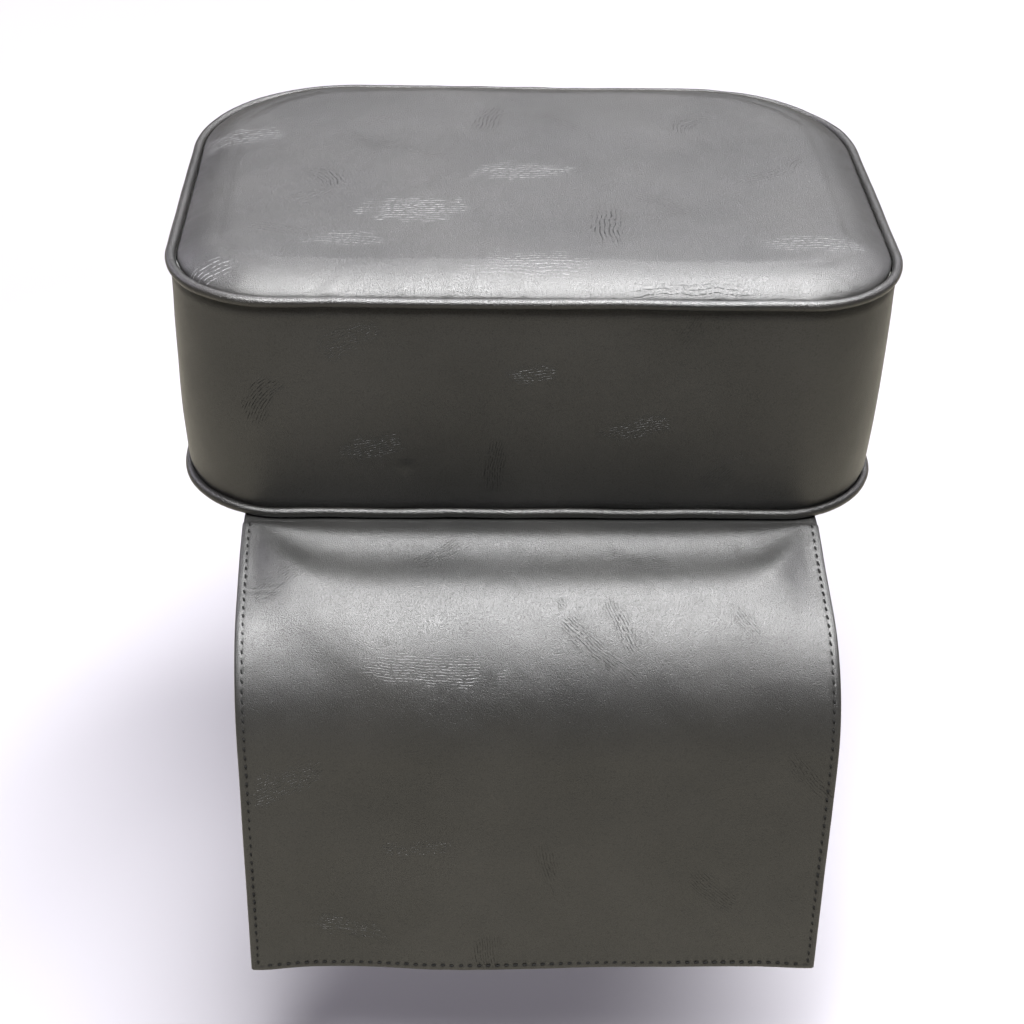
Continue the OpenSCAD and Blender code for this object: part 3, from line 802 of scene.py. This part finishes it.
def make_apron_root():
    """The apron's edge, from inside the seam, round under the piping, to the hinge line."""
    r = SKIN / 2
    inner_y = -HALF_D + PANEL_INSET + 0.7 * MM
    path = [(inner_y + 4 * MM, BASE_SEAM + 1.2 * MM), (inner_y + 0.8 * MM, BASE_SEAM + 1.1 * MM),
            (inner_y, BASE_SEAM - 0.2 * MM), (inner_y, HINGE.z + 0.9 * MM),
            (inner_y - 0.6 * MM, HINGE.z + 0.1 * MM), (inner_y - 2 * MM, HINGE.z), (HINGE.y, HINGE.z)]
    path = np.array(path)
    lengths = np.concatenate([[0], np.cumsum(np.hypot(*np.diff(path, axis=0).T))])
    t = np.linspace(0, lengths[-1], 26)
    line = np.stack([np.interp(t, lengths, path[:, 0]), np.interp(t, lengths, path[:, 1])], -1)
    heading = np.gradient(line, axis=0)
    heading /= np.linalg.norm(heading, axis=1, keepdims=True)
    side = np.stack([-heading[:, 1], heading[:, 0]], -1) * r
    round_end = np.linspace(-math.pi / 2, -3 * math.pi / 2, 9)[1:-1]
    nose = line[-1] + r * np.stack([np.cos(round_end), np.sin(round_end)], -1)
    section = np.vstack([line + side, nose, (line - side)[::-1]])
    x = np.linspace(-APRON_HALF, APRON_HALF, 120)
    points = np.concatenate([
        np.broadcast_to(x[:, None, None], (len(x), len(section), 1)),
        np.broadcast_to(section[None], (len(x),) + section.shape)], -1)
    faces = grid_faces(len(x), len(section), closed_cols=True)
    last = (len(x) - 1) * len(section)
    faces += [tuple(range(len(section)))[::-1], tuple(last + k for k in range(len(section)))]
    obj = new_mesh("apron_seam_edge", points.reshape(-1, 3), faces)
    no_creases(obj)
    return obj


# ------------------------------------------------------------------ stitches

THREAD_R = 0.5 * MM


def stitch_mesh(name, centres, headings, ups, length):
    """One mesh of many short threads, each arched, with its two ends sunk in the sheet."""
    rings, sides = 7, 8
    a = np.linspace(-1, 1, rings)
    turn = np.linspace(0, 2 * math.pi, sides, endpoint=False)
    lift = THREAD_R * (0.9 - 1.9 * a ** 4)
    radius = THREAD_R * np.sqrt(np.clip(1 - 0.6 * a ** 6, 0.05, 1))
    sideways = np.cross(headings, ups)
    points = []
    faces = []
    ring_faces = grid_faces(rings, sides, closed_cols=True)
    ring_faces += [tuple(range(sides))[::-1], tuple((rings - 1) * sides + k for k in range(sides))]
    for n, (centre, heading, up, out) in enumerate(zip(centres, headings, ups, sideways)):
        spine = centre + a[:, None] * heading * length / 2 + lift[:, None] * up
        tube = spine[:, None] + radius[:, None, None] * (
            np.cos(turn)[None, :, None] * out + np.sin(turn)[None, :, None] * up)
        points.append(tube.reshape(-1, 3))
        faces += [tuple(n * rings * sides + k for k in f) for f in ring_faces]
    return new_mesh(name, np.vstack(points), faces)


def make_apron_stitches():
    side_x = APRON_HALF - STITCH_INSET
    side_t = np.arange(FIRST_STITCH, APRON_LENGTH - STITCH_INSET - 1.5 * MM, STITCH_PITCH)
    foot_count = int((side_x - STITCH_PITCH / 2) / STITCH_PITCH)
    foot_x = np.arange(-foot_count, foot_count + 1) * STITCH_PITCH
    rng = np.random.default_rng(7)
    x = np.concatenate([0 * side_t - side_x, 0 * side_t + side_x, foot_x])
    t = np.concatenate([side_t, side_t, 0 * foot_x + APRON_LENGTH - STITCH_INSET])
    x = x + rng.normal(size=len(x)) * 0.08 * MM
    t = t + rng.normal(size=len(t)) * 0.08 * MM
    lengthways = np.concatenate([np.ones(2 * len(side_t), bool), np.zeros(len(foot_x), bool)])
    middle, normal = apron_frame(x, t)
    height = stitch_groove(x, t) + SKIN / 2
    e = 0.5 * MM
    ahead = apron_middle(np.where(lengthways, x, x + e), np.where(lengthways, t + e, t))
    behind = apron_middle(np.where(lengthways, x, x - e), np.where(lengthways, t - e, t))
    heading = (ahead - behind) / np.linalg.norm(ahead - behind, axis=1, keepdims=True)
    heading = heading + STITCH_LEAN * np.cross(normal, heading)
    heading /= np.linalg.norm(heading, axis=1, keepdims=True)
    return stitch_mesh("apron_stitches", middle + normal * height[:, None], heading, normal, STITCH_LENGTH)


ZIP_PITCH = 3.5 * MM


def make_zip_stitches():
    low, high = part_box("zip_thread")
    rows = [low.z + 0.2 * MM, high.z - 0.2 * MM]
    x = np.arange(low.x + 2 * MM, high.x - 1 * MM, ZIP_PITCH)
    centres = np.array([(a, HALF_D - 0.05 * MM, z) for z in rows for a in x])
    headings = np.tile([1.0, 0, 0], (len(centres), 1))
    ups = np.tile([0, 1.0, 0], (len(centres), 1))
    return stitch_mesh("zip_stitches", centres, headings, ups, 2.6 * MM)


# ------------------------------------------------------------------ materials


class Shader:
    """Short calls for building one material's nodes."""

    def __init__(self, name):
        self.material = bpy.data.materials.new(name)
        self.material.use_nodes = True
        self.tree = self.material.node_tree
        self.surface = self.tree.nodes["Principled BSDF"]

    def node(self, kind, inputs=None, **settings):
        made = self.tree.nodes.new("ShaderNode" + kind)
        for key, value in settings.items():
            setattr(made, key, value)
        for key, value in (inputs or {}).items():
            if hasattr(value, "is_linked"):
                self.tree.links.new(value, made.inputs[key])
            else:
                made.inputs[key].default_value = value
        return made

    def math(self, operation, a, b=0.0, clamp=False):
        return self.node("Math", {0: a, 1: b}, operation=operation, use_clamp=clamp).outputs[0]

    def place_mm(self):
        """The point's place at rest, in mm."""
        rest = self.node("Attribute", attribute_name="rest").outputs["Vector"]
        return self.node("VectorMath", {0: rest, "Scale": 1000.0}, operation="SCALE").outputs[0]

    def object_mm(self):
        here = self.node("TexCoord").outputs["Object"]
        return self.node("VectorMath", {0: here, "Scale": 1000.0}, operation="SCALE").outputs[0]

    def noise(self, where, scale, detail=2.0, rough=0.5):
        return self.node("TexNoise", {"Vector": where, "Scale": scale, "Detail": detail,
                                      "Roughness": rough}).outputs["Fac"]

    def stretched_noise(self, along, along_scale, across, across_scale):
        """Noise drawn out along a patch's creases."""
        a = self.math("MULTIPLY", along, along_scale)
        b = self.math("MULTIPLY", across, across_scale)
        where = self.node("CombineXYZ", {0: a, 1: b}).outputs[0]
        return self.noise(where, 1.0, 1.0)

    def ramp(self, value, low, high, to_low=0.0, to_high=1.0):
        return self.node("MapRange", {"Value": value, "From Min": low, "From Max": high,
                                      "To Min": to_low, "To Max": to_high}).outputs[0]

    def mix(self, share, a, b):
        made = self.node("Mix", {"Factor": share}, data_type="RGBA")
        for socket, value in ((6, a), (7, b)):
            if hasattr(value, "is_linked"):
                self.tree.links.new(value, made.inputs[socket])
            else:
                made.inputs[socket].default_value = (*value, 1.0)
        return made.outputs[2]

    def bump(self, height, distance, strength=1.0, after=None):
        inputs = {"Height": height, "Distance": distance, "Strength": strength}
        if after is not None:
            inputs["Normal"] = after
        return self.node("Bump", inputs).outputs[0]

    def set(self, **values):
        """Sets the surface's inputs. An underscore stands for a space in an input's name."""
        for key, value in values.items():
            socket = self.surface.inputs[key.replace("_", " ")]
            if hasattr(value, "is_linked"):
                self.tree.links.new(value, socket)
            else:
                socket.default_value = (*value, 1.0) if isinstance(value, tuple) else value


BLACK = (0.015, 0.015, 0.0146)
WORN_BLACK = (0.024, 0.0235, 0.0225)
SCUFF_GREY = (0.20, 0.20, 0.205)
# Painted shade for the crease grooves.
PAINTED_GROOVE_SHADE = (0.004, 0.004, 0.004)


def leatherette(name="leatherette", roughness=0.33, dark=BLACK, pale=WORN_BLACK):
    """Satin black with a fine pebble grain. Creased patches show fine broken lines across them, with painted
    shade in their grooves.
    """
    m = Shader(name)
    where = m.place_mm()
    pebble = m.node("TexVoronoi", {"Vector": where, "Scale": 1.8, "Smoothness": 0.3},
                    feature="SMOOTH_F1").outputs["Distance"]
    rounded = m.math("SUBTRACT", 1.0, m.math("MULTIPLY", pebble, pebble))
    fine = m.noise(where, 2.4, 2.0, 0.6)
    grain = m.math("ADD", m.math("MULTIPLY", rounded, 0.5), m.math("MULTIPLY", fine, 0.9))

    creased = m.node("Attribute", attribute_name="creased").outputs["Fac"]
    scuffed = m.node("Attribute", attribute_name="scuffed").outputs["Fac"]
    across = m.node("Attribute", attribute_name="across").outputs["Fac"]
    along = m.node("Attribute", attribute_name="along").outputs["Fac"]
    wander = m.math("MULTIPLY", m.stretched_noise(along, 0.07, across, 0.15), 2.0)
    ripple = m.math("MULTIPLY", m.noise(where, 0.6, 2.0), 0.35)
    phase = m.math("ADD", across, m.math("ADD", wander, ripple))
    fold = m.math("ABSOLUTE", m.math("SINE", m.math("MULTIPLY", phase, math.pi)))
    line = m.ramp(fold, 0.0, 0.42, 1.0, 0.0)
    line = m.math("MULTIPLY", line, m.ramp(m.stretched_noise(along, 0.4, across, 0.9), 0.38, 0.56))
    groove = m.math("MULTIPLY", line, creased)
    broken = m.ramp(m.noise(where, 0.7, 1.0), 0.3, 0.55, 0.35)
    crest = m.math("MULTIPLY", m.math("MULTIPLY", line, scuffed), broken)
    lines = m.math("SUBTRACT", m.math("MULTIPLY", crest, 0.8), groove)

    grained = m.bump(grain, 0.00022, 1.0)
    lined = m.bump(lines, 0.00034, 1.0, after=grained)

    tone = m.ramp(m.noise(where, 0.012, 3.0), 0.35, 0.7)
    colour = m.mix(tone, dark, pale)
    colour = m.mix(m.math("MULTIPLY", crest, 1.5, clamp=True), colour, SCUFF_GREY)
    # Painted shade: the crease grooves' colour is darkened towards near black.
    colour = m.mix(m.math("MULTIPLY", groove, 0.8, clamp=True), colour, PAINTED_GROOVE_SHADE)
    mottle = m.ramp(m.noise(where, 0.05, 4.0), 0.3, 0.7, -0.03, 0.03)
    rough = m.math("ADD", m.math("ADD", roughness, mottle), m.math("MULTIPLY", groove, 0.25))
    shine = m.math("SUBTRACT", m.ramp(grain, 0.55, 0.95, 0.42, 0.76), m.math("MULTIPLY", groove, 0.4))
    m.set(Base_Color=colour, Roughness=rough, Normal=lined, Specular_IOR_Level=shine)
    return m.material


def woven(name, colour, pitch, rough=0.85):
    """A plain weave seen on a tape, or the twist of a thread."""
    m = Shader(name)
    where = m.object_mm()
    split = m.node("SeparateXYZ", {0: where})
    warp = m.math("SINE", m.math("MULTIPLY", split.outputs[0], 2 * math.pi / pitch))
    weft = m.math("SINE", m.math("MULTIPLY", split.outputs[2], 2 * math.pi / pitch))
    height = m.math("MULTIPLY", warp, weft)
    tone = m.ramp(m.noise(where, 0.4, 3.0), 0.3, 0.7)
    pale = tuple(min(1.0, c * 1.7 + 0.004) for c in colour)
    m.set(Base_Color=m.mix(tone, colour, pale), Roughness=rough, Normal=m.bump(height, 0.0001, 0.8))
    m.set(Sheen_Weight=0.25)
    return m.material


def thread_material():
    m = Shader("thread")
    where = m.object_mm()
    split = m.node("SeparateXYZ", {0: where})
    total = m.math("ADD", m.math("ADD", split.outputs[0], split.outputs[1]), split.outputs[2])
    twist = m.math("SINE", m.math("MULTIPLY", total, 2 * math.pi / 0.55))
    tone = m.ramp(m.noise(where, 1.5, 2.0), 0.3, 0.7)
    m.set(Base_Color=m.mix(tone, (0.006, 0.006, 0.006), (0.016, 0.016, 0.016)), Roughness=0.8,
          Normal=m.bump(twist, 0.00006, 0.8))
    m.set(Specular_IOR_Level=0.2)
    return m.material


def foam(name, colour, cell):
    """Open-cell foam: a pitted surface with a slightly uneven colour."""
    m = Shader(name)
    where = m.object_mm()
    pits = m.node("TexVoronoi", {"Vector": where, "Scale": 1 / cell}).outputs["Distance"]
    tone = m.ramp(m.noise(where, 0.03, 3.0), 0.3, 0.7)
    darker = tuple(c * 0.8 for c in colour)
    m.set(Base_Color=m.mix(tone, colour, darker), Roughness=0.95, Normal=m.bump(pits, 0.0004, 0.9))
    m.set(Subsurface_Weight=0.1)
    return m.material


def wadding_material():
    m = Shader("wadding")
    where = m.object_mm()
    fibres = m.noise(where, 0.5, 8.0, 0.75)
    tone = m.ramp(fibres, 0.3, 0.7)
    m.set(Base_Color=m.mix(tone, (0.72, 0.72, 0.70), (0.92, 0.92, 0.9)), Roughness=1.0,
          Normal=m.bump(fibres, 0.001, 0.8))
    m.set(Sheen_Weight=0.4)
    return m.material


def plastic(name, colour, rough, grain_scale):
    m = Shader(name)
    where = m.object_mm()
    speck = m.noise(where, grain_scale, 3.0)
    pale = tuple(c * 1.4 + 0.003 for c in colour)
    m.set(Base_Color=m.mix(m.ramp(speck, 0.3, 0.7), colour, pale), Normal=m.bump(speck, 0.00003, 0.6),
          Roughness=m.ramp(speck, 0.3, 0.7, rough - 0.05, rough + 0.05))
    return m.material


def gunmetal():
    """Plated zinc, with fine scratches and edges worn brighter."""
    m = Shader("zip_metal")
    where = m.object_mm()
    stretched = m.node("VectorMath", {0: where, 1: (0.6, 6.0, 6.0)}, operation="MULTIPLY").outputs[0]
    scratch = m.noise(stretched, 1.2, 4.0)
    edge = m.ramp(m.node("NewGeometry").outputs["Pointiness"], 0.5, 0.56)
    colour = m.mix(edge, (0.13, 0.13, 0.135), (0.42, 0.42, 0.43))
    m.set(Base_Color=colour, Metallic=1.0, Roughness=m.ramp(scratch, 0.3, 0.7, 0.24, 0.42),
          Normal=m.bump(scratch, 0.00002, 0.5))
    return m.material


def dress(obj, material):
    obj.data.materials.clear()
    obj.data.materials.append(material)


def dress_node(node, material):
    """Gives a CAD node its material without touching its mesh."""
    for s in frame["nodes"][node].material_slots:
        s.link = "OBJECT"
        s.material = material


# ------------------------------------------------------------------ stage


FLOOR_Z = -0.32           # below the apron's hem
FLOOR_FLAT = 3.4          # the radius out to the bend
FLOOR_BEND = 1.2
FLOOR_RISE = 3.5
FLOOR_NEAR, FLOOR_FAR = (0.345, 0.335, 0.36), (0.95, 0.93, 0.97)
# Painted reflection: colours that the floor shows only to reflections and bounced light, never to the
# camera.
PAINTED_REFLECTION_LOW, PAINTED_REFLECTION_MIDDLE, PAINTED_REFLECTION_HIGH = (0.27, 0.252, 0.205), (0.12, 0.12, 0.12), (0.55, 0.54, 0.56)


def make_floor():
    """A plain pale floor that turns up far away on all sides, so that no edge shows. It is paler far out,
    where the lamps don't reach. That is what the camera sees; reflections and bounced light see a painted
    reflection of a darker room instead."""
    segments = 64
    turn = np.linspace(0, math.pi / 2, 10)
    reach = np.concatenate([[0.5], FLOOR_FLAT + FLOOR_BEND * np.sin(turn), [FLOOR_FLAT + FLOOR_BEND]])
    height = np.concatenate([[0], FLOOR_BEND * (1 - np.cos(turn)), [FLOOR_RISE]])
    angle = np.linspace(0, 2 * math.pi, segments, endpoint=False)
    points = [(d * math.cos(a), d * math.sin(a), FLOOR_Z + h) for d, h in zip(reach, height) for a in angle]
    faces = [f[::-1] for f in grid_faces(len(reach), segments, closed_cols=True)]
    floor = new_mesh("floor", points, faces + [tuple(range(segments))])
    m = Shader("floor")
    out = m.node("VectorMath", {0: m.object_mm()}, operation="LENGTH").outputs["Value"]
    shown = m.mix(m.ramp(out, 900.0, 4200.0), FLOOR_NEAR, FLOOR_FAR)
    # Painted reflection: in the leatherette's reflections and in bounced light, the floor and its far rise
    # show a darker room. It is brownish low down, darkest higher up and pale at the top, while the camera
    # sees the plain pale floor.
    height = m.node("SeparateXYZ", {0: m.object_mm()}).outputs[2]
    painted_reflection = m.mix(m.ramp(height, 200.0, 900.0), PAINTED_REFLECTION_LOW, PAINTED_REFLECTION_MIDDLE)
    painted_reflection = m.mix(m.ramp(height, 1500.0, 2800.0), painted_reflection, PAINTED_REFLECTION_HIGH)
    seen = m.node("LightPath").outputs["Is Camera Ray"]
    m.set(Base_Color=m.mix(seen, painted_reflection, shown), Roughness=0.9, Specular_IOR_Level=0.1)
    dress(floor, m.material)


def area_light(name, place, target, size, power, colour=(1, 1, 1)):
    data = bpy.data.lights.new(name, "AREA")
    data.shape = "RECTANGLE"
    data.size, data.size_y = size
    data.energy = power
    data.color = colour
    light = bpy.data.objects.new(name, data)
    light.location = place
    light.rotation_euler = (Vector(target) - Vector(place)).to_track_quat("-Z", "Y").to_euler()
    bpy.context.scene.collection.objects.link(light)


def make_lights():
    world = bpy.data.worlds.new("studio")
    world.use_nodes = True
    background = world.node_tree.nodes["Background"]
    background.inputs["Color"].default_value = (0.96, 0.93, 1.0, 1)
    background.inputs["Strength"].default_value = 0.42
    bpy.context.scene.world = world
    area_light("overhead", (0.11, -0.27, 1.6), (0.02, -0.2, 0), (1.9, 0.54), 130)
    area_light("rear", (0.1, 1.85, 1.80), (0, 0, 0.1), (2.0, 0.9), 42, (0.97, 0.96, 1.0))
    area_light("left", (-1.9, 1.3, 1.1), (0, 0, 0.1), (1.3, 1.3), 22, (0.92, 0.88, 1.0))
    area_light("right", (1.9, 1.3, 1.1), (0, 0, 0.1), (1.3, 1.3), 15, (0.95, 0.92, 1.0))


CAMERA_PLACE = (-0.044, -0.954, 0.604)
CAMERA_LENS_MM, CAMERA_SENSOR_MM = 63.4, 36.0
CAMERA_DOWN, CAMERA_YAW, CAMERA_ROLL = (math.radians(a) for a in (36.2, 2.3, 1.6))


def make_camera():
    """Looks down on the cushion's front from head height, a touch to its left."""
    ahead = Vector((math.sin(CAMERA_YAW) * math.cos(CAMERA_DOWN),
                    math.cos(CAMERA_YAW) * math.cos(CAMERA_DOWN), -math.sin(CAMERA_DOWN)))
    level = Vector((math.cos(CAMERA_YAW), -math.sin(CAMERA_YAW), 0))
    up = level.cross(ahead)
    right = level * math.cos(CAMERA_ROLL) + up * math.sin(CAMERA_ROLL)
    top = up * math.cos(CAMERA_ROLL) - level * math.sin(CAMERA_ROLL)
    data = bpy.data.cameras.new("camera")
    data.lens, data.sensor_width = CAMERA_LENS_MM, CAMERA_SENSOR_MM
    data.clip_start = 0.02
    camera = bpy.data.objects.new("camera", data)
    camera.matrix_world = Matrix((
        (right.x, top.x, -ahead.x, CAMERA_PLACE[0]),
        (right.y, top.y, -ahead.y, CAMERA_PLACE[1]),
        (right.z, top.z, -ahead.z, CAMERA_PLACE[2]),
        (0, 0, 0, 1)))
    bpy.context.scene.collection.objects.link(camera)
    bpy.context.scene.camera = camera


# ------------------------------------------------------------------ the whole object


def cover(obj, material, body, *nodes):
    """A piece of the cover: its grain's coordinates and material, its body and the CAD nodes it replaces."""
    rest_coordinates(obj)
    dress(obj, material)
    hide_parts(*nodes)
    if body:
        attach(obj, body)


leather = leatherette()
# The piping's copy of the leatherette is glossier, and its darker colour is painted shade on the piping's
# body.
piping_leather_painted_darker = leatherette("leatherette_on_piping", 0.2, (0.011, 0.011, 0.0105), (0.018, 0.017, 0.016))
thread = thread_material()
cover(make_top_panel(), leather, "cushion", "top_panel")
cover(make_front_band(), leather, "cushion", "front_band")
rear_upper = make_rear_band("rear_band_upper_cover", BAND_TOP, ZIP_Z + ZIP_HALF, 51)
rear_lower = make_rear_band("rear_band_lower_cover", BAND_BOTTOM, ZIP_Z - ZIP_HALF, 52)
cover(rear_upper, leather, "cushion", "rear_band_upper")
cover(rear_lower, leather, "cushion", "rear_band_lower")
cover(make_base_panel(), leather, "cushion", "bottom_panel")
cover(make_piping("top_piping", TOP_SEAM, 61), piping_leather_painted_darker, "cushion", "top_piping_cover")
cover(make_piping("base_piping", BASE_SEAM, 71), piping_leather_painted_darker, "cushion", "bottom_piping_cover")
cover(make_apron_root(), leather, "cushion", "apron_root")

apron = make_apron()
cover(apron, leather, None, "apron_upper", "apron_drop")
apron_stitches = make_apron_stitches()
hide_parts("apron_thread_upper", "apron_thread_drop")
# Both sheets have their placement baked into their points.
for sheet in (apron, apron_stitches):
    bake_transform(sheet)
zip_stitches = make_zip_stitches()
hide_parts("zip_thread")
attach(zip_stitches, "cushion")
for stitches in (apron_stitches, zip_stitches):
    dress(stitches, thread)

metal = gunmetal()
tape = woven("zip_tape", (0.012, 0.012, 0.013), 0.7)
coil = plastic("zip_coil", (0.010, 0.010, 0.011), 0.38, 4.0)
for name in ("zip_slider", "zip_pull", "zip_stops"):
    dress_node(name, metal)
    bevel = frame["nodes"][name].modifiers.new("edges", "BEVEL")
    bevel.width = 0.2 * MM
    bevel.segments = 2
for side in ("upper", "lower"):
    dress_node("zip_tape_" + side, tape)
    dress_node("zip_coil_" + side, coil)
for name in ("top_seam_thread", "bottom_seam_thread", "band_seam_thread"):
    dress_node(name, thread)
cord = plastic("piping_cord", (0.74, 0.72, 0.66), 0.6, 1.5)
for name in ("top_piping_cord", "bottom_piping_cord"):
    dress_node(name, cord)
dress_node("foam_block", foam("firm_foam", (0.80, 0.64, 0.30), 0.9))
dress_node("foam_topper", foam("soft_foam", (0.86, 0.80, 0.58), 1.3))
dress_node("wadding_wrap", wadding_material())

make_floor()
make_lights()
make_camera()
bpy.context.scene.view_settings.view_transform = "Standard"
